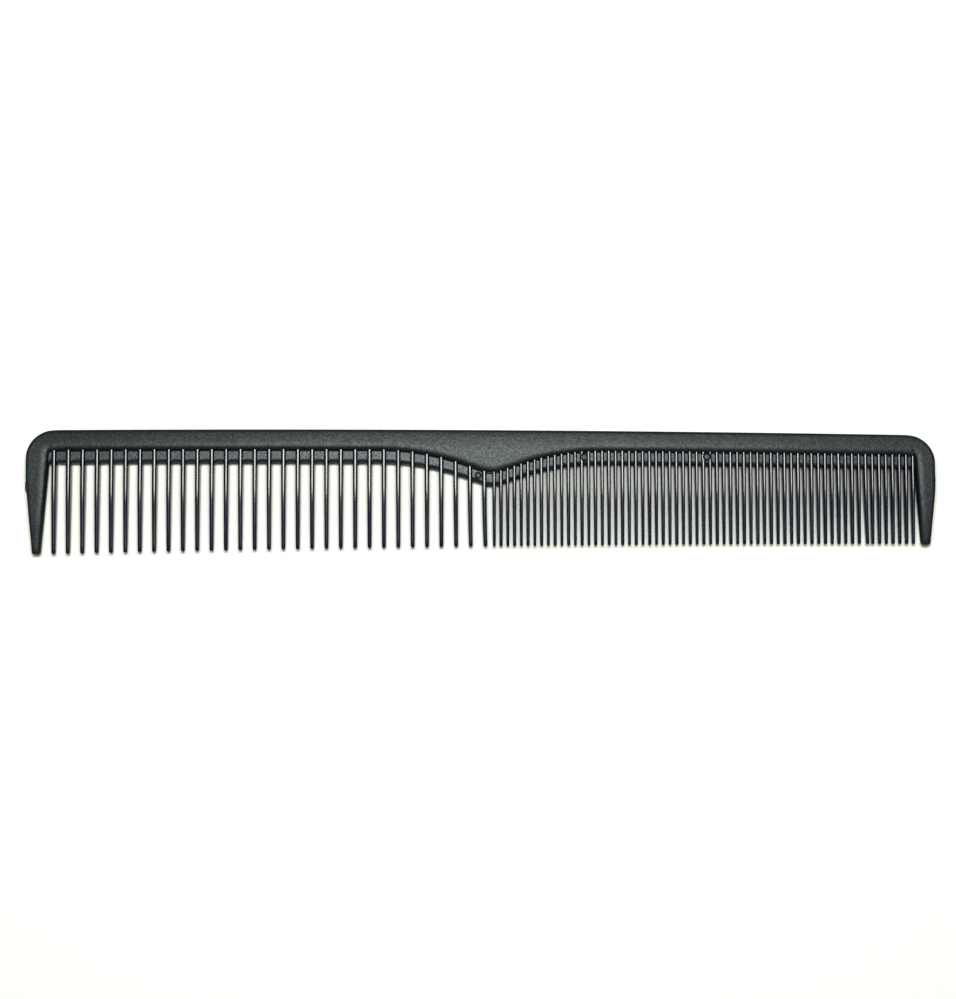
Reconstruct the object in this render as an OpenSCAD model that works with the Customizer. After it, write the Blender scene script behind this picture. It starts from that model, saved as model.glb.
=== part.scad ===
// Cutting comb with a coarse row and a fine row of teeth, lying flat.
// +X runs along the comb from the coarse teeth to the fine teeth, +Y points to
// the back of the spine, the teeth point to -Y, and the comb lies on z = 0.
// The real comb is one moulding. Each node is one region of it, and the
// regions meet face to face. It is the same above and below its mid-plane,
// where the two halves of the mould meet.

/* [Comb] */
// Length over the two end guards
comb_len = 180; // [176:0.5:200]
// Depth from the back to the tips at the coarse end
depth_coarse = 24.9; // [23:0.1:30]
// Depth from the back to the tips at the fine end
depth_fine = 21.7; // [20:0.1:30]
// Bow of the back and of the tip line towards +Y at mid-length
arch = 0.56; // [0:0.02:2]
// Radius of the two outer corners
corner_r = 5.8; // [3:0.1:7]

/* [Spine] */
// Thickness of the spine and of the guards
spine_t = 4; // [3.4:0.1:5]
// Depth of the spine along its arms
spine_w = 4.3; // [3:0.1:5]
// Distance of the dip's lowest point from mid-length
dip_x = 2.2; // [0:0.1:4]
// Extra depth of the spine at the bottom of the dip
dip_depth = 4.45; // [2:0.05:5]
// Slope of the sides of the dip, in degrees
dip_slope = 18.8; // [12:0.1:22]
// Radius at the bottom of the dip
dip_bottom_r = 4.3; // [3:0.1:8]
// Radius where the dip runs into the arms
dip_shoulder_r = 50; // [20:1:55]

/* [Web] */
// Thickness of the web between the tooth roots
web_t = 1.4; // [1:0.1:2]
// Depth of the web, from the spine to the gaps between the teeth
web_w = 2.4; // [2:0.05:4]

/* [Teeth] */
// Number of coarse teeth
coarse_count = 31; // [20:1:31]
// Distance between coarse teeth
coarse_pitch = 2.838; // [2.5:0.002:2.84]
// Number of fine teeth, in threes
fine_count = 63; // [45:3:63]
// Distance between fine teeth
fine_pitch = 1.3357; // [1.2:0.0001:1.336]
// Distance from the last coarse tooth to the first fine tooth
row_gap = 1.94; // [1.5:0.02:2.5]
// Middle of the gap between the two rows
row_x = 1.75; // [0:0.01:3]
// Thickness of the teeth at their roots
tooth_t = 3.2; // [2.6:0.1:3.3]
// Thickness of the teeth at their tips
tip_t = 1.4; // [1:0.1:2]
// Width of the ridge along the front and the back of a tooth
ridge_w = 0.4; // [0.2:0.02:0.5]
// Width of a coarse tooth at its root
coarse_root_w = 1.04; // [0.7:0.02:1.1]
// Width of a coarse tooth near its tip
coarse_tip_w = 0.84; // [0.5:0.02:0.9]
// Width of a wide fine tooth at its root; wide and narrow ones alternate
fine_root_w = 0.88; // [0.7:0.02:0.9]
// Width of a wide fine tooth near its tip
fine_tip_w = 0.67; // [0.5:0.01:0.75]
// How much less wide a narrow fine tooth is
fine_step = 0.07; // [0:0.01:0.1]

/* [Guards] */
// Width of the coarse end guard at its root
coarse_guard_w = 4.65; // [4:0.05:4.7]
// Width of the fine end guard at its root
fine_guard_w = 4.1; // [3.6:0.05:4.1]
// Width of the coarse end guard near its tip
coarse_guard_tip_w = 1.9; // [1.5:0.05:2.5]
// Width of the fine end guard near its tip
fine_guard_tip_w = 2.1; // [1.5:0.05:2.5]
// Distance from the coarse end to the middle of its guard's tip
coarse_tip_in = 2.22; // [1.6:0.02:2.6]
// Distance from the fine end to the middle of its guard's tip
fine_tip_in = 2.05; // [1.6:0.05:2.6]
// How far the fine end guard reaches past the line of the tooth tips
fine_guard_longer = 0.2; // [0:0.05:1]
// Thickness of the guards at their tips
guard_tip_t = 1.8; // [1.6:0.1:3]
// Rounding of the corners of the coarse end guard's tip
coarse_tip_r = 0.6; // [0.3:0.05:0.9]
// Rounding of the corners of the fine end guard's tip
fine_tip_r = 0.7; // [0.3:0.05:0.9]
// Radius of the corner between a guard and the spine
root_r = 0.6; // [0.3:0.05:0.8]
// How far the gate marks on the two ends stand proud
mark_h = 0.2; // [0.1:0.05:0.4]

/* [Hidden] */
half = comb_len / 2;
mid_z = spine_t / 2;
black = "#2f3233";
group = 3;
// The teeth thin from taper_y to their tips: first gently, down to
// taper_mid_y, where taper_mid_part of the change is done.
taper_y = 1.8;
taper_mid_y = -2.2;
taper_mid_part = 0.26;
// The sides of a tooth lean in by side_lean up to side_part of its thickness.
side_lean = 0.05;
side_part = 0.72;
// At the web the outline of a tooth clears its section by root_clear on each
// side, so that the tooth starts to narrow a little below the web.
root_clear = 0.03;
// A height that is beyond the back of the spine
above = depth_coarse;
// The outer edge of each guard is straight down to its shoulder, and the
// guards thin from guard_taper_y to their tips.
coarse_shoulder_y = 2.6;
fine_shoulder_y = 0;
guard_taper_y = -1.2;
arc_steps = 6;
corner_steps = 14;

function coarse_x(i) = row_x - row_gap / 2 - (coarse_count - i) * coarse_pitch;
function fine_x(i) = row_x + row_gap / 2 + (i - 1) * fine_pitch;
function fine_root(i) = fine_root_w - fine_step * (i % 2);
function fine_tip(i) = fine_tip_w - fine_step * (i % 2);
function two_digits(i) = str(i < 10 ? "0" : "", i);
function coarse_name(i) = str("coarse_tooth_", two_digits(i));
function fine_name(i) = str("fine_teeth_", two_digits(i));
function flip(points) = [for (i = [len(points) - 1 : -1 : 0]) points[i]];
function mirrored(points) = concat(points, flip([for (q = points) [q.x, -q.y]]));
function part_way(a, b, t) = a + (b - a) * t;
function arc(c, r, from, to, n) =
    [for (i = [0 : n]) c + r * [cos(part_way(from, to, i / n)), sin(part_way(from, to, i / n))]];

// Depth and bow of the comb at a place along it
function depth(x) = part_way(depth_coarse, depth_fine, (x + half) / comb_len);
function bow(x) = arch * (1 - pow(x / half, 2));
function raw_back(x) = bow(x) + depth(x) / 2;
function raw_tip(x) = bow(x) - depth(x) / 2;

// Stations of the back, and the shift that centres the outline on y = 0
back_x = [for (i = [0 : 16]) part_way(-half + corner_r, half - corner_r, i / 16)];
y_top = max([for (x = back_x) raw_back(x)]);
y_low = raw_tip(coarse_tip_in - half);
shift = -(y_top + y_low) / 2;
function back_y(x) = raw_back(x) + shift;
function tip_y(x) = raw_tip(x) + shift;

// The dip hangs below the arms: a round bottom, two straight slopes and two
// wide shoulders.
function dip(x) =
    let (
        u = abs(x - dip_x),
        r1 = dip_bottom_r,
        r2 = dip_shoulder_r,
        u1 = r1 * sin(dip_slope),
        drop1 = r1 * (1 - cos(dip_slope)),
        drop2 = r2 * (1 - cos(dip_slope)),
        u2 = u1 + (dip_depth - drop1 - drop2) / tan(dip_slope),
        u3 = u2 + r2 * sin(dip_slope)
    )
    u < u1 ? dip_depth - r1 + sqrt(r1 * r1 - u * u)
    : u < u2 ? dip_depth - drop1 - (u - u1) * tan(dip_slope)
    : u < u3 ? r2 - sqrt(r2 * r2 - pow(u3 - u, 2))
    : 0;
function spine_edge(x) = back_y(x) - spine_w - dip(x);
function web_edge(x) = spine_edge(x) - web_w;

// Both edges bend only at the two sides of each tooth, so that every tooth
// fits a straight stretch of them exactly.
coarse_breaks = [for (i = [1 : coarse_count]) for (s = [-1, 1]) coarse_x(i) + s * coarse_root_w / 2];
fine_breaks = [for (i = [1 : fine_count]) for (s = [-1, 1]) fine_x(i) + s * fine_root(i) / 2];
breaks = concat(coarse_breaks, fine_breaks);

left_in = coarse_guard_w - half;
right_in = half - fine_guard_w;
// The lower ends of the round inner corners
left_root = spine_edge(left_in) - root_r;
right_root = spine_edge(right_in) - root_r;
// The guards start below both the inner and the outer round corners.
left_cut = min(left_root, back_y(corner_r - half) - corner_r);
right_cut = min(right_root, back_y(half - corner_r) - corner_r);
// The tips of the guards, and where the straight inner edge of each one ends
coarse_guard_y = tip_y(coarse_tip_in - half);
fine_guard_y = tip_y(half - fine_tip_in) - fine_guard_longer;
coarse_in_end = [coarse_tip_in + coarse_guard_tip_w / 2 - half, coarse_guard_y + coarse_tip_r];
fine_in_end = [half - fine_tip_in - fine_guard_tip_w / 2, fine_guard_y + fine_tip_r];
function at_height(a, b, y) = [part_way(a.x, b.x, (a.y - y) / (a.y - b.y)), y];
function coarse_inner(y) = at_height([left_in, left_root], coarse_in_end, y);
function fine_inner(y) = at_height([right_in, right_root], fine_in_end, y);

// The lower outline of the spine, from the coarse guard to the fine guard
function spine_lower() =
    concat(
        [coarse_inner(left_cut)],
        arc([left_in + root_r, left_root], root_r, 180, 90, arc_steps),
        [for (x = breaks) if (x > left_in + root_r && x < right_in - root_r) [x, spine_edge(x)]],
        arc([right_in - root_r, right_root], root_r, 90, 0, arc_steps),
        [fine_inner(right_cut)]
    );

// Slabs of an outline: drawn in X and Y, in X and Z, and in Y and Z
module plan(points, thick) {
    translate([0, 0, mid_z - thick / 2])
        linear_extrude(thick)
            polygon(points);
}

module section(points, y_from, y_to) {
    translate([0, y_to, mid_z])
        rotate([90, 0, 0])
            linear_extrude(y_to - y_from)
                polygon(points);
}

module side(points, x_from, x_to) {
    translate([x_from, 0, mid_z])
        rotate([90, 0, 90])
            linear_extrude(x_to - x_from)
                polygon(points);
}

// The spine: the back, the outer corners and the round inner corners
module spine() {
    corner_l = [corner_r - half, back_y(corner_r - half) - corner_r];
    corner_rt = [half - corner_r, back_y(half - corner_r) - corner_r];
    color(black)
        plan(concat(
            [[-half, left_cut]],
            arc(corner_l, corner_r, 180, 90, corner_steps),
            [for (x = back_x) if (abs(x) < half - corner_r) [x, back_y(x)]],
            arc(corner_rt, corner_r, 90, 0, corner_steps),
            [[half, right_cut]],
            flip(spine_lower())
        ), spine_t);
}

// The thin web that joins the tooth roots, from guard to guard
module web() {
    color(black)
        plan(concat(
            [coarse_inner(web_edge(left_in))],
            spine_lower(),
            [fine_inner(web_edge(right_in))],
            [for (x = flip(breaks)) if (x > left_in && x < right_in) [x, web_edge(x)]]
        ), web_t);
}

// A guard: end is -1 at the coarse end and 1 at the fine end. Its outline
// tapers below the shoulder, and its faces slope towards the tip.
module guard(end, root_in, cut_y, shoulder_y, tip_in, tip_w, tip, r) {
    tip_x = half - tip_in;
    t = tip_w / 2;
    outline = concat(
        [[half, cut_y], [half, shoulder_y]],
        arc([tip_x + t - r, tip + r], r, 0, -90, arc_steps),
        arc([tip_x - t + r, tip + r], r, -90, -180, arc_steps),
        [[root_in, cut_y]]
    );
    profile = mirrored([[cut_y, spine_t / 2], [guard_taper_y, spine_t / 2], [tip, guard_tip_t / 2]]);
    intersection() {
        plan([for (p = outline) [end * p.x, p.y]], spine_t);
        side(profile, -half - 1, half + 1);
    }
}

// A gate mark: a low flat scar on the outer edge, at the mid-plane
module gate_mark(end, y, length) {
    plan([
        [end * (half - 0.3), y], [end * (half + mark_h), y + 0.3],
        [end * (half + mark_h), y + length - 0.3], [end * (half - 0.3), y + length]
    ], 1);
}

module coarse_guard() {
    color(black) union() {
        guard(
            -1, -coarse_inner(left_cut).x, left_cut, coarse_shoulder_y,
            coarse_tip_in, coarse_guard_tip_w, coarse_guard_y, coarse_tip_r
        );
        gate_mark(-1, 0, 2.6);
    }
}

module fine_guard() {
    color(black) union() {
        guard(
            1, fine_inner(right_cut).x, right_cut, fine_shoulder_y,
            fine_tip_in, fine_guard_tip_w, fine_guard_y, fine_tip_r
        );
        gate_mark(1, 1.4, 1);
    }
}

// One tooth: a bar with a round tip, whose sides lean in a little from the
// mid-plane and then slope to a narrow ridge on both faces. It thins towards
// its tip. Its root straddles the web and ends on the spine.
module tooth(x, root_w, tip_w) {
    w = root_w / 2;
    r = tip_w / 2;
    tip = tip_y(x);
    web_l = web_edge(x - w);
    web_r = web_edge(x + w);
    rise = (web_r - web_l) / 2;
    outline = concat(
        [[x + w, spine_edge(x + w)], [x - w, spine_edge(x - w)], [x - w - root_clear, web_l]],
        arc([x, tip + r], r, 180, 360, arc_steps),
        [[x + w + root_clear, web_r]]
    );
    profile = mirrored([
        [above, tooth_t / 2], [taper_y, tooth_t / 2],
        [taper_mid_y, part_way(tooth_t, tip_t, taper_mid_part) / 2], [tip, tip_t / 2]
    ]);
    side_x = w - side_lean;
    side_z = side_part * tooth_t / 2;
    draft = mirrored([
        [x - w, 0], [x - side_x, side_z], [x - ridge_w / 2, tooth_t / 2],
        [x + ridge_w / 2, tooth_t / 2], [x + side_x, side_z], [x + w, 0]
    ]);
    slot = [[x - 2 * w, web_l - rise], [x + 2 * w, web_r + rise], [x + 2 * w, above], [x - 2 * w, above]];
    color(black) difference() {
        intersection() {
            plan(outline, tooth_t);
            section(draft, tip - 1, above);
            side(profile, x - 1, x + 1);
        }
        plan(slot, web_t);
        spine();
    }
}

module coarse_tooth(i) {
    tooth(coarse_x(i), coarse_root_w, coarse_tip_w);
}

// Three neighbouring fine teeth, as separate solids
module fine_teeth(g) {
    for (i = [group * (g - 1) + 1 : group * g]) tooth(fine_x(i), fine_root(i), fine_tip(i));
}

coarse_names = [for (i = [1 : coarse_count]) coarse_name(i)];
fine_names = [for (g = [1 : fine_count / group]) fine_name(g)];

spine();
web();
coarse_guard();  // coarse_end_guard
fine_guard();  // fine_end_guard
for (i = [1 : coarse_count]) coarse_tooth(i);
for (g = [1 : fine_count / group]) fine_teeth(g);
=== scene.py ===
"""Looks of the hair comb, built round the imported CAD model.

The comb is one black moulding that lies flat. Each CAD node is one region of
it, and each is replaced here by a finer mesh with drafted sides, rounded
edges, a crowned spine and tapered teeth. Outlines come from the CAD nodes
themselves. Lengths are in millimetres until a mesh is made.
"""

import math

import bmesh
import bpy
from mathutils import Matrix, Vector


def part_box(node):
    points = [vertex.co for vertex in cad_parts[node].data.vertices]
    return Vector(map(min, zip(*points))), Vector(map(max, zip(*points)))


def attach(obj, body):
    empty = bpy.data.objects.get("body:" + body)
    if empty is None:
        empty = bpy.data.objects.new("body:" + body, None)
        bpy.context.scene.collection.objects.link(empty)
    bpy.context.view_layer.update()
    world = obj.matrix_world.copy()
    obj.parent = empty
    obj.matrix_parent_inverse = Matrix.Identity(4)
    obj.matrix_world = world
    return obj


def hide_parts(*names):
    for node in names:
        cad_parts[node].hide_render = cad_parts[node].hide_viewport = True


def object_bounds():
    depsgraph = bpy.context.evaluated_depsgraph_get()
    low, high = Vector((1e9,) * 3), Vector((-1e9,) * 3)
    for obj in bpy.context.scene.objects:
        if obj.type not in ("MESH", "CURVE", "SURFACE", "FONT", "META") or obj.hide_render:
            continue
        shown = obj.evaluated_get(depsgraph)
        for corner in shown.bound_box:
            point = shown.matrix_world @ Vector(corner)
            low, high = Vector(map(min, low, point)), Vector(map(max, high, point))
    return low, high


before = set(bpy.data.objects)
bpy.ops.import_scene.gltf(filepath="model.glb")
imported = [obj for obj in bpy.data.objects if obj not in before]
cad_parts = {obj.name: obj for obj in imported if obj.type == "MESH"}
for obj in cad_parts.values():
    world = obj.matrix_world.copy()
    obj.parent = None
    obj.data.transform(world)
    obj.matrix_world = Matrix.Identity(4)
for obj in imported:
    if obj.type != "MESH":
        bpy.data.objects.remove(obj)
cad_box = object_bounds()

MM = 0.001
BODY = "root"

# Reading the CAD nodes: an upper face looks up and lies above a part of the
# half thickness, and rays start from below or from the left of the comb.
WELD = 1e-7
LOOKS_UP = 0.9
UPPER_LEVEL = 0.3
BELOW = -50
LEFT = -200
TINY = 0.001
NEAR_CUT = 0.01
# Edges that turn by more degrees than this are shaded sharp.
SHARP_TURN = 50

# Spine and guards: the sides lean in by DRAFT from a ridge at the parting line
# to rounds that are ROUND_DROP high and wider on the inner edges.
PARTING_RIDGE = 0.03
RIDGE_PART = 0.04
DRAFT = 0.15
OUTER_ROUND = 0.5
INNER_ROUND = 1.35
ROUND_DROP = 0.4
ROUND_STEPS = 6
FACE_PARTS = 6
# The part of a narrow section's width that the sides and the rounds may take
SIDES_MOST = 0.92
# The faces thin towards the back, from CROWN_Y up.
CROWN_Y = 7
CROWN_RADIUS = 32
# Rings along each leg below a corner, round the corner and along the arms
LEG_STEPS = 3
FAN_STEPS = 12
ARM_STEP = 0.6
SMOOTH_SPAN = 0.75
SMOOTH_REACH = 3
ROOT_ROUND = 0.6
# The guards thin by a power of the distance from their cuts.
GUARD_STEP = 0.7
GUARD_TIP_HALF = 0.9
GUARD_POWER = 2.5
GUARD_NOSE = 0.5
GUARD_NOSE_STEPS = 7
GUARD_NOSE_TURN = 80
GUARD_NOSE_LEAST = 0.25

# Web: how far it reaches into the spine, its fillet there, and the round of its
# lower edge. The flat between them has an extra row of points at each side.
WEB_SINK = 0.4
WEB_FILLET = 0.15
WEB_STEPS = 4
FLAT_MARGIN = 0.08
WEB_EDGE_RUN = 0.8
WEB_EDGE_TURN = 88
WEB_END_MARGIN = 0.05
# Fillets between the web and the sides of the teeth
WIDE_GAP = 1
GAP_FILLET = 0.28
FINE_GAP_FILLET = 0.2
GAP_STEPS = 5
UNDER_TOOTH = 0.1

# Teeth: the sides lean in by SIDE_LEAN up to SIDE_PART of the thickness, and
# a narrow ridge runs along both faces.
TOOTH_SINK = 0.5
SIDE_LEAN = 0.05
SIDE_PART = 0.72
RIDGE_HALF = 0.19
RIDGE_DROP = 0.02
RIDGE_SAG = 0.25
SHOULDER_STEPS = 4
# The parts of half a narrow section that the ridge and the lean may take
RIDGE_MOST = 0.4
LEAN_MOST = 0.1
# They thin from TOOTH_TAPER_Y to their tips, slowly at first.
TOOTH_TAPER_Y = 1.6
TAPER_RAMP = 4.2
TOOTH_STEP = 0.9
TOOTH_TIP_HALF = 0.7
NOSE_PART = 1.1
NOSE_STEPS = 6
NOSE_TURN = 84
NOSE_LEAST = 0.3
TOOTH_GAP_LEAST = 0.3
TIP_ROWS = 0.5

# Small faults of the moulding: how far some tips lean towards +X
COARSE_LEAN = {29: 0.08, 30: 0.14, 31: 0.2}
FINE_LEAN = {56: 0.3}

# Ejector pin marks: centre and diameter
PIN_MARKS = [(-0.42, 3.07, 1.4), (20.61, 6.6, 1.6), (44.81, 6.6, 1.6)]
PIN_WALL = 0.1
PIN_PROUD = 0.3
PIN_SINK = 0.3
PIN_POINTS = 28

# Gate marks and nubs on the outer edges of the guards
GATE_PROUD = 0.2
NUB_PROUD = 0.1
GATE_HALF = 0.5
GATE_THIN = 0.6
GATE_SINK = 0.3
GATE_BEVEL = 0.05
GATE_HEIGHTS = [0, 0.6, 1, 0.8, 0.95, 0.55, 0]

# Materials: the middle range of a noise, the flecks of the grain, and how much
# the ridges of the teeth shine; their flanks shine less, which is painted shade
RANGE_LOW = 0.3
RANGE_HIGH = 0.7
FLECK_LEAST = 0.66
FLECK_MOST = 1.34
RIDGE_SHINE = 0.32
FLANK_SHINE_PAINTED_SHADE = 0.05

# Floor: half its width in metres, and how far it lies under the comb
FLOOR_REACH = 3
FLOOR_GAP = 0.02

# Camera, seen from the middle of the comb
CAMERA_FAR = 465
CAMERA_TILT = 5
CAMERA_ROLL = 0.17
AIM_X = -0.48
AIM_Y = -1.685
FILM = 36
VIEW_HEIGHT = 197.8


# ---------------------------------------------------------------- frame

def box_mm(node):
    """Lowest and highest corner of a CAD node, in millimetres."""
    low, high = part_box(node)
    return low / MM, high / MM


SPINE_LOW, SPINE_HIGH = box_mm("spine")
MID_Z = (SPINE_LOW.z + SPINE_HIGH.z) / 2
SPINE_HALF = SPINE_HIGH.z - MID_Z
WEB_HALF = box_mm("web")[1].z - MID_Z


def plan_outline(node):
    """The outline of a CAD node's upper face, as points in order."""
    mesh = bmesh.new()
    mesh.from_mesh(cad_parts[node].data)
    bmesh.ops.remove_doubles(mesh, verts=mesh.verts, dist=WELD)
    mesh.normal_update()
    level = (MID_Z + UPPER_LEVEL * (box_mm(node)[1].z - MID_Z)) * MM
    upward = [f for f in mesh.faces if f.normal.z > LOOKS_UP]
    top = {f for f in upward if f.calc_center_median().z > level}
    rim = [e for e in mesh.edges if sum(f in top for f in e.link_faces) == 1]
    near = {}
    for edge in rim:
        a, b = edge.verts
        near.setdefault(a, []).append(b)
        near.setdefault(b, []).append(a)
    walk = [rim[0].verts[0], rim[0].verts[1]]
    while walk[-1] is not walk[0]:
        ahead = [v for v in near[walk[-1]] if v is not walk[-2]]
        walk.append(ahead[0])
    points = [v.co.xy / MM for v in walk[:-1]]
    mesh.free()
    return points


def crossings(outline, start, way):
    """Where a ray from start crosses an outline, nearest first."""
    across = Vector((-way.y, way.x))
    hits = []
    for a, b in zip(outline, outline[1:] + outline[:1]):
        side_a = (a - start).dot(across)
        side_b = (b - start).dot(across)
        if (side_a > 0) == (side_b > 0):
            continue
        place = a.lerp(b, side_a / (side_a - side_b))
        hits.append(((place - start).dot(way), place))
    return [place for reach, place in sorted(hits, key=lambda hit: hit[0]) if reach > 0]


GUARDS = {-1: "coarse_end_guard", 1: "fine_end_guard"}
GUARD_OUTLINES = {side: plan_outline(node) for side, node in GUARDS.items()}
SPINE = plan_outline("spine")
WEB = plan_outline("web")


def spine_edge(x):
    """Height of the spine's lower edge at a place along the comb."""
    return crossings(SPINE, Vector((x, BELOW)), Vector((0, 1)))[0].y


def web_edge(x):
    """Height of the web's lower edge at a place along the comb."""
    return crossings(WEB, Vector((x, BELOW)), Vector((0, 1)))[0].y


def teeth_of(node):
    """Each tooth of a CAD node: its left and right side, its tip and its width there."""
    points = sorted((v.co.x / MM, v.co.y / MM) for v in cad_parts[node].data.vertices)
    teeth = [[points[0]]]
    for point in points[1:]:
        if point[0] - teeth[-1][-1][0] > TOOTH_GAP_LEAST:
            teeth.append([])
        teeth[-1].append(point)
    found = []
    for tooth in teeth:
        tip = min(y for x, y in tooth)
        end = [x for x, y in tooth if y < tip + TIP_ROWS]
        found.append((tooth[0][0], tooth[-1][0], tip, end[-1] - end[0]))
    return found


# ---------------------------------------------------------------- meshes

def loft(name, rings, material, node=None):
    """A closed mesh through rings of equally many points, capped at both ends."""
    mesh = bmesh.new()
    rows = [[mesh.verts.new(Vector(p) * MM) for p in ring] for ring in rings]
    count = len(rings[0])
    for row, following in zip(rows, rows[1:]):
        for i in range(count):
            j = (i + 1) % count
            mesh.faces.new((row[i], row[j], following[j], following[i]))
    mesh.faces.new(rows[0][::-1])
    mesh.faces.new(rows[-1])
    return finish_mesh(name, mesh, material, node)


def finish_mesh(name, mesh, material, node):
    """A smooth shaded piece of the comb from a mesh under construction."""
    bmesh.ops.recalc_face_normals(mesh, faces=mesh.faces)
    data = bpy.data.meshes.new(name)
    mesh.to_mesh(data)
    mesh.free()
    for face in data.polygons:
        face.use_smooth = True
    data.materials.append(material)
    piece = bpy.data.objects.new(name, data)
    bpy.context.scene.collection.objects.link(piece)
    data.set_sharp_from_angle(angle=math.radians(SHARP_TURN))
    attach(piece, BODY)
    if node:
        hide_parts(node)
    return piece


def join(name, pieces, node):
    """Several meshes as the separate solids of one piece."""
    with bpy.context.temp_override(
        active_object=pieces[0], selected_editable_objects=pieces, selected_objects=pieces
    ):
        bpy.ops.object.join()
    pieces[0].name = name
    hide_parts(node)
    return pieces[0]


# ---------------------------------------------------------------- spine and guards

def crowned_half(y):
    """Half the thickness of the spine, which thins towards its back."""
    up = max(0, y - CROWN_Y)
    return SPINE_HALF - up * up / (2 * CROWN_RADIUS)


def guard_half(y, cut, tip):
    """Half the thickness of a guard, which thins more and more from its cut to its tip."""
    down = (cut - y) / (cut - tip)
    return crowned_half(y) - (SPINE_HALF - GUARD_TIP_HALF) * down ** GUARD_POWER


def side_profile(run):
    """Inset from the outline, and height as a part of the side and of the round."""
    side = [(0, 0, 0), (PARTING_RIDGE, RIDGE_PART, 0), (DRAFT, 1, 0)]
    for i in range(1, ROUND_STEPS + 1):
        a = math.radians(90 * i / ROUND_STEPS)
        side.append((DRAFT + run * (1 - math.cos(a)), 1, math.sin(a)))
    return side


def body_ring(outer, inner, half_at, shrink=1):
    """Section of the spine or of a guard from its outer to its inner edge."""
    length = (inner - outer).length
    way = (inner - outer) / length
    near = side_profile(OUTER_ROUND)
    far = side_profile(INNER_ROUND)
    fit = min(1, SIDES_MOST * length / (near[-1][0] + far[-1][0]))
    upper = [(inset * fit, part, bend) for inset, part, bend in near]
    start = near[-1][0] * fit
    end = length - far[-1][0] * fit
    for i in range(1, FACE_PARTS):
        upper.append((start + (end - start) * i / FACE_PARTS, 1, 1))
    for inset, part, bend in reversed(far):
        upper.append((length - inset * fit, part, bend))
    above = []
    for reach, part, bend in upper:
        place = outer + way * reach
        half = half_at(place.y) * shrink
        z = part * (half - ROUND_DROP) + bend * ROUND_DROP
        above.append((place.x, place.y, z))
    below = [(x, y, -z) for x, y, z in above[1:-1]]
    return [(x, y, MID_Z + z) for x, y, z in above + below[::-1]]


def smoothed(points, span):
    """Points along a line, each one a weighted mean of its neighbours."""
    out = []
    for p in points:
        total = Vector((0, 0))
        weight = 0
        for q in points:
            gap = (p - q).length / span
            if gap < SMOOTH_REACH:
                w = math.exp(-gap * gap / 2)
                total += q * w
                weight += w
        out.append(total / weight)
    return out


def corner_centre(side):
    """Centre of the round inner corner: side is -1 at the coarse end, 1 at the fine end."""
    outline = GUARD_OUTLINES[side]
    cut = max(p.y for p in outline)
    inner_x = min(abs(p.x) for p in outline if p.y > cut - NEAR_CUT)
    x = side * (inner_x - ROOT_ROUND)
    return Vector((x, spine_edge(x) - ROOT_ROUND))


def spine_rings():
    """Rings from the coarse guard, round its corner, along the arms and down again."""
    ends = {}
    for side in (-1, 1):
        centre = corner_centre(side)
        cut = max(p.y for p in GUARD_OUTLINES[side])
        legs = []
        for i in range(LEG_STEPS):
            y = cut + (centre.y - cut) * i / LEG_STEPS
            hits = crossings(SPINE, Vector((centre.x, max(y, cut + TINY))), Vector((side, 0)))
            legs.append((Vector((hits[-1].x, y)), Vector((hits[0].x, y))))
        for i in range(FAN_STEPS):
            a = math.radians(90 * i / FAN_STEPS)
            hits = crossings(SPINE, centre, Vector((side * math.cos(a), math.sin(a))))
            legs.append((hits[-1], hits[0]))
        ends[side] = legs
    left = corner_centre(-1).x
    right = corner_centre(1).x
    count = round((right - left) / ARM_STEP)
    arms = []
    for i in range(count + 1):
        x = left + (right - left) * i / count
        hits = crossings(SPINE, Vector((x, BELOW)), Vector((0, 1)))
        arms.append((hits[-1], hits[0]))
    pairs = ends[-1] + arms + ends[1][::-1]
    outer = smoothed([p[0] for p in pairs], SMOOTH_SPAN)
    inner = smoothed([p[1] for p in pairs], SMOOTH_SPAN)
    for i, pair in enumerate(pairs):
        near_end = min(i, len(pairs) - 1 - i)
        if near_end < LEG_STEPS + FAN_STEPS:
            outer[i] = pair[0]
            inner[i] = pair[1]
    return [body_ring(o, i, crowned_half) for o, i in zip(outer, inner)]


def guard_rings(outline, side):
    """Rings of a guard from the spine down to its blunt tip."""
    cut = max(p.y for p in outline)
    tip = min(p.y for p in outline)
    stations = []
    straight = cut - tip - GUARD_NOSE
    count = round(straight / GUARD_STEP)
    for i in range(count + 1):
        stations.append((cut - straight * i / count, 1))
    for i in range(1, GUARD_NOSE_STEPS + 1):
        a = math.radians(GUARD_NOSE_TURN * i / GUARD_NOSE_STEPS)
        shrink = GUARD_NOSE_LEAST + (1 - GUARD_NOSE_LEAST) * math.cos(a)
        stations.append((tip + GUARD_NOSE * (1 - math.sin(a)), shrink))
    rings = []
    for y, shrink in stations:
        half = guard_half(y, cut, tip)
        look = min(max(y, tip + TINY), cut - TINY)
        hits = crossings(outline, Vector((LEFT, look)), Vector((1, 0)))
        outer, inner = (hits[0], hits[-1]) if side < 0 else (hits[-1], hits[0])
        rings.append(body_ring(
            Vector((outer.x, y)), Vector((inner.x, y)), lambda _: half, shrink
        ))
    return rings


def make_body(material):
    """The spine and the two guards."""
    loft("spine_form", spine_rings(), material, "spine")
    for side, node in GUARDS.items():
        rings = guard_rings(GUARD_OUTLINES[side], side)
        loft(node + "_form", rings, material, node)


# ---------------------------------------------------------------- web

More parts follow.
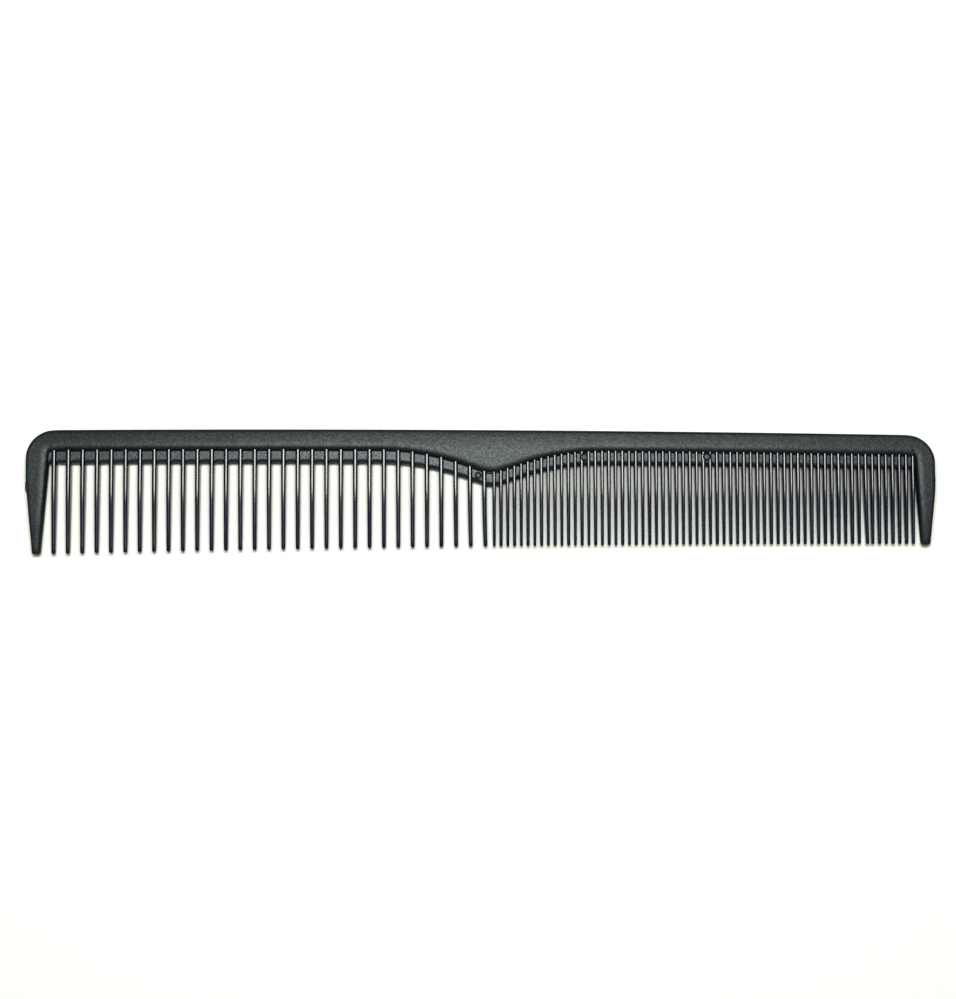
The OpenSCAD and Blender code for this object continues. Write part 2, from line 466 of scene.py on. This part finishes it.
def web_ring(x, drop):
    """Section of the web: a fillet at the spine and a round lower edge."""
    top = spine_edge(min(max(x, corner_centre(-1).x), corner_centre(1).x))
    low = web_edge(x) - drop
    wall = top + DRAFT * (WEB_HALF + WEB_FILLET) / (SPINE_HALF - ROUND_DROP)
    upper = [(top + WEB_SINK, WEB_HALF + WEB_FILLET), (wall, WEB_HALF + WEB_FILLET)]
    for i in range(1, WEB_STEPS + 1):
        a = math.radians(90 * i / WEB_STEPS)
        upper.append((
            wall - WEB_FILLET * math.sin(a), WEB_HALF + WEB_FILLET * (1 - math.cos(a))
        ))
    flat_top = wall - WEB_FILLET
    flat_low = low + WEB_EDGE_RUN
    upper.append((flat_top - FLAT_MARGIN, WEB_HALF))
    upper.append((flat_low + FLAT_MARGIN, WEB_HALF))
    for i in range(WEB_STEPS + 1):
        a = math.radians(WEB_EDGE_TURN * i / WEB_STEPS)
        upper.append((
            low + WEB_EDGE_RUN * (1 - math.sin(a)), WEB_HALF * math.cos(a)
        ))
    lower = [(y, -z) for y, z in upper]
    return [(x, y, MID_Z + z) for y, z in upper + lower[::-1]]


def web_stations(flanks):
    """Places along the web, and how far a fillet at a tooth drops its lower edge."""
    stations = []
    for left, right, fillet in flanks:
        for i in range(GAP_STEPS + 1):
            away = fillet * i / GAP_STEPS
            drop = fillet - math.sqrt(fillet ** 2 - (fillet - away) ** 2)
            stations.append((left + away, drop))
            stations.append((right - away, drop))
        stations.append((left - UNDER_TOOTH, fillet))
        stations.append((right + UNDER_TOOTH, fillet))
    return sorted(stations)


def make_web(material, teeth):
    """The web, with its lower edge rounded into the side of every tooth."""
    coarse_in = min(p.x for p in WEB)
    fine_in = max(p.x for p in WEB)
    sides = [coarse_in] + [x for tooth in teeth for x in tooth[:2]] + [fine_in]
    flanks = []
    for left, right in zip(sides[0::2], sides[1::2]):
        wide = right - left > WIDE_GAP
        flanks.append((left, right, GAP_FILLET if wide else FINE_GAP_FILLET))
    stations = web_stations(flanks)
    rings = []
    for x, drop in stations:
        inside = min(max(x, coarse_in + WEB_END_MARGIN), fine_in - WEB_END_MARGIN)
        ring = web_ring(inside, drop)
        rings.append([(x, y, z) for _, y, z in ring])
    loft("web_form", rings, material, "web")


# ---------------------------------------------------------------- teeth

def tooth_half(y, tip, root_half):
    """Half the thickness of a tooth: even above, then ever thinner to the tip."""
    down = max(0, TOOTH_TAPER_Y - y)
    full = TOOTH_TAPER_Y - tip
    ramp = down ** 2 / (2 * TAPER_RAMP) if down < TAPER_RAMP else down - TAPER_RAMP / 2
    return root_half - (root_half - TOOTH_TIP_HALF) * ramp / (full - TAPER_RAMP / 2)


def pin_chords(x):
    """Where ejector pins have flattened a ridge: the two ends of each stretch."""
    chords = []
    for pin_x, pin_y, across in PIN_MARKS:
        reach = (across / 2) ** 2 - (x - pin_x) ** 2
        if reach > 0:
            chords.append((pin_y - math.sqrt(reach), pin_y + math.sqrt(reach)))
    return chords


def tooth_rings(tooth, lean, root_half):
    """Rings of one tooth from inside the spine down to its round tip."""
    left, right, tip, tip_w = tooth
    x = (left + right) / 2
    root_w = (right - left) / 2
    top = spine_edge(x) + TOOTH_SINK
    knee = web_edge(x)
    nose = NOSE_PART * tip_w / 2
    length = top - tip - nose
    count = round(length / TOOTH_STEP)
    stations = [(top - length * i / count, 1) for i in range(count + 1)]
    for i in range(1, NOSE_STEPS + 1):
        a = math.radians(NOSE_TURN * i / NOSE_STEPS)
        stations.append((tip + nose * (1 - math.sin(a)), math.cos(a)))
    chords = pin_chords(x)
    for low, high in chords:
        stations += [(y, 1) for y in (low - PIN_WALL, low, high, high + PIN_WALL)]
    rings = []
    for y, shrink in sorted(stations, reverse=True):
        down = max(0, (knee - y) / (knee - tip))
        w = (root_w + (tip_w / 2 - root_w) * down) * shrink
        t = tooth_half(y, tip, root_half) * (NOSE_LEAST + (1 - NOSE_LEAST) * shrink)
        cut = any(low - TINY < y < high + TINY for low, high in chords)
        upper = WEB_HALF + PIN_PROUD / 2 if cut else t
        rings.append(tooth_ring(x + lean * down ** 2, y, w, upper, t))
    return rings


def tooth_ring(x, y, w, upper, lower):
    """Section of a tooth: widest at the mid-plane, a round ridge on both faces."""
    ridge = min(RIDGE_HALF, RIDGE_MOST * w)
    side = w - min(SIDE_LEAN, LEAN_MOST * w)
    points = [(w, 0, 0), ((w + side) / 2, SIDE_PART / 2, 0)]
    for i in range(SHOULDER_STEPS + 1):
        a = math.radians(90 * i / SHOULDER_STEPS)
        rise = (1 - SIDE_PART) * math.sin(a)
        points.append((ridge + (side - ridge) * math.cos(a), SIDE_PART + rise, math.sin(a)))
    points.append((ridge / 2, 1, RIDGE_SAG))
    points.append((0, 1, 0))
    right = [(px, part * upper - drop * RIDGE_DROP) for px, part, drop in points]
    left = [(-px, z) for px, z in right[-2::-1]]
    below = [(px, drop * RIDGE_DROP - part * lower) for px, part, drop in points]
    under = [(-px, z) for px, z in below[1:-1]] + below[:0:-1]
    return [(x + px, y, MID_Z + z) for px, z in right + left + under]


def make_coarse_teeth(material):
    """The coarse teeth, one piece each, and where they are."""
    teeth = []
    root_half = box_mm("coarse_tooth_01")[1].z - MID_Z
    for node in sorted(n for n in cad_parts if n.startswith("coarse_tooth_")):
        number = int(node[-2:])
        tooth = teeth_of(node)[0]
        teeth.append(tooth)
        rings = tooth_rings(tooth, COARSE_LEAN.get(number, 0), root_half)
        loft(node + "_form", rings, material, node)
    return teeth


def make_fine_teeth(material):
    """The fine teeth, joined as the CAD nodes group them, and where they are."""
    teeth = []
    root_half = box_mm("fine_teeth_01")[1].z - MID_Z
    for node in sorted(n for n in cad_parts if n.startswith("fine_teeth_")):
        group = []
        for tooth in teeth_of(node):
            teeth.append(tooth)
            lean = FINE_LEAN.get(len(teeth), 0)
            rings = tooth_rings(tooth, lean, root_half)
            group.append(loft(f"{node}_{len(group)}", rings, material))
        join(node + "_form", group, node)
    return teeth


# ---------------------------------------------------------------- moulding marks

def make_pin_marks(material):
    """Low round pads that the ejector pins left on the web, hollow in the middle."""
    for number, (x, y, across) in enumerate(PIN_MARKS, 1):
        radius = across / 2
        profile = [
            (radius, -PIN_SINK), (radius, 0), (radius - 0.03, PIN_PROUD * 0.8),
            (radius - 0.1, PIN_PROUD), (radius - 0.2, PIN_PROUD * 0.8),
            (radius - 0.3, PIN_PROUD * 0.4), (radius * 0.4, PIN_PROUD * 0.35),
            (radius * 0.1, PIN_PROUD * 0.5)
        ]
        rings = []
        for reach, rise in profile:
            ring = []
            for i in range(PIN_POINTS):
                a = math.tau * i / PIN_POINTS
                z = MID_Z + WEB_HALF + rise
                ring.append((x + reach * math.cos(a), y + reach * math.sin(a), z))
            rings.append(ring)
        loft(f"pin_mark_{number}", rings, material)


def make_gate_mark(name, side, low, high, proud, material):
    """The scar of a gate, or a smaller nub, on the outer edge of a guard."""
    edge = cad_box[1].x / MM - GATE_PROUD
    rings = []
    for i, height in enumerate(GATE_HEIGHTS):
        y = low + (high - low) * i / (len(GATE_HEIGHTS) - 1)
        reach = edge + proud * height
        thick = GATE_HALF * (GATE_THIN + (1 - GATE_THIN) * height)
        ring = []
        for px, pz in (
            (edge - GATE_SINK, -1), (edge, -1), (reach - GATE_BEVEL, -0.8), (reach, -0.4),
            (reach, 0.4), (reach - GATE_BEVEL, 0.8), (edge, 1), (edge - GATE_SINK, 1)
        ):
            ring.append((side * px, y, MID_Z + pz * thick))
        rings.append(ring)
    loft(name, rings, material)


def make_gate_marks(material):
    """A gate mark and a nub on the outer edge of each guard."""
    make_gate_mark("coarse_end_gate_mark", -1, 0, 2.6, GATE_PROUD, material)
    make_gate_mark("coarse_end_nub", -1, 6.9, 7.25, NUB_PROUD, material)
    make_gate_mark("fine_end_gate_mark", 1, 1.4, 2.4, GATE_PROUD, material)
    make_gate_mark("fine_end_nub", 1, -0.45, -0.1, NUB_PROUD, material)


# ---------------------------------------------------------------- materials

def plain_material(name, colour, roughness, specular):
    """A material's nodes, its links and its shader, with plain values set."""
    made = bpy.data.materials.new(name)
    made.use_nodes = True
    nodes = made.node_tree.nodes
    shader = nodes["Principled BSDF"]
    shader.inputs["Base Color"].default_value = (*colour, 1)
    shader.inputs["Roughness"].default_value = roughness
    shader.inputs["Specular IOR Level"].default_value = specular
    return made, nodes, made.node_tree.links, shader


def noise(nodes, links, place, scale, detail, stretch=None):
    """A noise in the object's own coordinates, which are in metres."""
    source = place.outputs["Object"]
    if stretch:
        mapping = nodes.new("ShaderNodeMapping")
        mapping.inputs["Scale"].default_value = stretch
        links.new(source, mapping.inputs["Vector"])
        source = mapping.outputs["Vector"]
    made = nodes.new("ShaderNodeTexNoise")
    made.inputs["Scale"].default_value = scale
    made.inputs["Detail"].default_value = detail
    links.new(source, made.inputs["Vector"])
    return made.outputs["Fac"]


def ranged(nodes, links, value, low, high):
    """The middle range of a value from 0 to 1, stretched to run from low to high."""
    made = nodes.new("ShaderNodeMapRange")
    made.inputs["From Min"].default_value = RANGE_LOW
    made.inputs["From Max"].default_value = RANGE_HIGH
    made.inputs["To Min"].default_value = low
    made.inputs["To Max"].default_value = high
    links.new(value, made.inputs["Value"])
    return made.outputs["Result"]


def mixed(nodes, links, amount, first, second):
    """Two colours mixed by an amount."""
    made = nodes.new("ShaderNodeMix")
    made.data_type = "RGBA"
    made.inputs["A"].default_value = (*first, 1)
    made.inputs["B"].default_value = (*second, 1)
    links.new(amount, made.inputs["Factor"])
    return made.outputs["Result"]


def bumped(nodes, links, shader, height, distance, strength):
    """Small bumps on a shader's surface."""
    made = nodes.new("ShaderNodeBump")
    made.inputs["Distance"].default_value = distance
    made.inputs["Strength"].default_value = strength
    links.new(height, made.inputs["Height"])
    links.new(made.outputs["Normal"], shader.inputs["Normal"])


def grained_plastic(name, dark, light, rough_low, rough_high, grain, specular):
    """Black plastic with the fine grain of a spark-eroded mould."""
    made, nodes, links, shader = plain_material(name, dark, rough_low, specular)
    shader.inputs["Specular Tint"].default_value = (0.89, 1, 0.99, 1)
    place = nodes.new("ShaderNodeTexCoord")
    mottle = noise(nodes, links, place, scale=3400, detail=2)
    cloud = noise(nodes, links, place, scale=120, detail=2)
    fine = noise(nodes, links, place, scale=2800, detail=3)
    fleck = noise(nodes, links, place, scale=2200, detail=1)
    both = nodes.new("ShaderNodeMath")
    both.operation = "ADD"
    links.new(ranged(nodes, links, mottle, 0, 0.6), both.inputs[0])
    links.new(ranged(nodes, links, cloud, 0, 0.4), both.inputs[1])
    links.new(
        mixed(nodes, links, both.outputs["Value"], dark, light), shader.inputs["Base Color"]
    )
    links.new(ranged(nodes, links, mottle, rough_low, rough_high), shader.inputs["Roughness"])
    links.new(
        ranged(nodes, links, fleck, FLECK_LEAST * specular, FLECK_MOST * specular),
        shader.inputs["Specular IOR Level"],
    )
    bumped(nodes, links, shader, fine, distance=grain * MM, strength=1)
    return made


def tooth_plastic():
    """Smooth black plastic whose reflections fade on the steep flanks of the teeth, as painted
    shade.
    """
    made, nodes, links, shader = plain_material(
        "smooth_black", colour=(0.001, 0.002, 0.016), roughness=0.18, specular=RIDGE_SHINE
    )
    shader.inputs["Specular Tint"].default_value = (1, 0.99, 0.86, 1)
    place = nodes.new("ShaderNodeTexCoord")
    streak = noise(nodes, links, place, scale=900, detail=2, stretch=(1, 0.08, 1))
    links.new(ranged(nodes, links, streak, 0.14, 0.22), shader.inputs["Roughness"])
    links.new(
        mixed(nodes, links, streak, (0.001, 0.001, 0.012), (0.002, 0.003, 0.02)),
        shader.inputs["Base Color"],
    )
    # Painted shade: the reflection is turned down where the surface turns from facing up to
    # facing sideways, on the flanks of the teeth.
    split = nodes.new("ShaderNodeSeparateXYZ")
    links.new(place.outputs["Normal"], split.inputs["Vector"])
    flank_shade_mask = nodes.new("ShaderNodeMath")
    flank_shade_mask.operation = "ABSOLUTE"
    links.new(split.outputs["Z"], flank_shade_mask.inputs[0])
    links.new(
        ranged(nodes, links, flank_shade_mask.outputs["Value"], FLANK_SHINE_PAINTED_SHADE, RIDGE_SHINE),
        shader.inputs["Specular IOR Level"],
    )
    bumped(nodes, links, shader, streak, distance=0.005 * MM, strength=0.5)
    return made


def floor_paper():
    """Pale matt paper."""
    made, nodes, links, shader = plain_material(
        "pale_paper", colour=(0.87, 0.88, 0.8), roughness=0.9, specular=0.2
    )
    place = nodes.new("ShaderNodeTexCoord")
    fibre = noise(nodes, links, place, scale=700, detail=4)
    links.new(
        mixed(nodes, links, fibre, (0.85, 0.86, 0.78), (0.89, 0.9, 0.82)),
        shader.inputs["Base Color"],
    )
    bumped(nodes, links, shader, fibre, distance=0.01 * MM, strength=0.3)
    return made


# ---------------------------------------------------------------- studio

def make_floor():
    """A wide plain floor just under the comb."""
    data = bpy.data.meshes.new("floor")
    corners = [
        (x * FLOOR_REACH, y * FLOOR_REACH, 0) for x, y in ((-1, -1), (1, -1), (1, 1), (-1, 1))
    ]
    data.from_pydata(corners, [], [(0, 1, 2, 3)])
    floor = bpy.data.objects.new("floor", data)
    floor.location.z = cad_box[0].z - FLOOR_GAP * MM
    bpy.context.scene.collection.objects.link(floor)
    data.materials.append(floor_paper())


def make_light(name, place, target, size, power, colour):
    """A soft elliptic light that faces a target."""
    data = bpy.data.lights.new(name, "AREA")
    data.shape = "ELLIPSE"
    data.size = size[0]
    data.size_y = size[1]
    data.energy = power
    data.color = colour
    light = bpy.data.objects.new(name, data)
    light.location = place
    light.rotation_euler = (Vector(target) - Vector(place)).to_track_quat("-Z", "Y").to_euler()
    bpy.context.scene.collection.objects.link(light)


def make_lights():
    """One soft light overhead, and a dim plain sky."""
    make_light(
        "key", place=(0, 0.062, 0.5), target=(0, 0.004, 0), size=(0.24, 0.13),
        power=3.05, colour=(0.97, 1, 1)
    )
    world = bpy.data.worlds.new("studio")
    world.use_nodes = True
    sky = world.node_tree.nodes["Background"]
    sky.inputs["Color"].default_value = (0.95, 1, 0.86, 1)
    sky.inputs["Strength"].default_value = 0.28
    bpy.context.scene.world = world


def make_camera():
    """A camera nearly straight above the comb."""
    data = bpy.data.cameras.new("camera")
    data.sensor_width = FILM
    data.lens = FILM * CAMERA_FAR / VIEW_HEIGHT
    data.clip_start = 0.01
    data.clip_end = 20
    camera = bpy.data.objects.new("camera", data)
    middle = (cad_box[0] + cad_box[1]) / 2
    aim = middle + Vector((AIM_X, AIM_Y, 0)) * MM
    turn = (
        Matrix.Rotation(math.radians(CAMERA_TILT), 4, "X")
        @ Matrix.Rotation(math.radians(-CAMERA_ROLL), 4, "Z")
    )
    camera.matrix_world = (
        Matrix.Translation(aim) @ turn @ Matrix.Translation((0, 0, CAMERA_FAR * MM))
    )
    bpy.context.scene.collection.objects.link(camera)
    bpy.context.scene.camera = camera


grained = grained_plastic(
    "grained_black", dark=(0.003, 0.0035, 0.004), light=(0.009, 0.010, 0.011),
    rough_low=0.34, rough_high=0.42, grain=0.03, specular=0.195
)
# Painted light: the web and pin marks get a lighter, shinier copy of the grained black
# plastic, for the brighter sheen the web shows beside the spine.
web_black_painted_light = grained_plastic(
    "web_black_painted_light", dark=(0.006, 0.007, 0.007), light=(0.014, 0.016, 0.015),
    rough_low=0.34, rough_high=0.42, grain=0.035, specular=0.265
)
smooth = tooth_plastic()
make_body(grained)
coarse = make_coarse_teeth(smooth)
fine = make_fine_teeth(smooth)
make_web(web_black_painted_light, coarse + fine)
make_pin_marks(web_black_painted_light)
make_gate_marks(grained)
make_floor()
make_lights()
make_camera()
bpy.context.scene.view_settings.view_transform = "Standard"
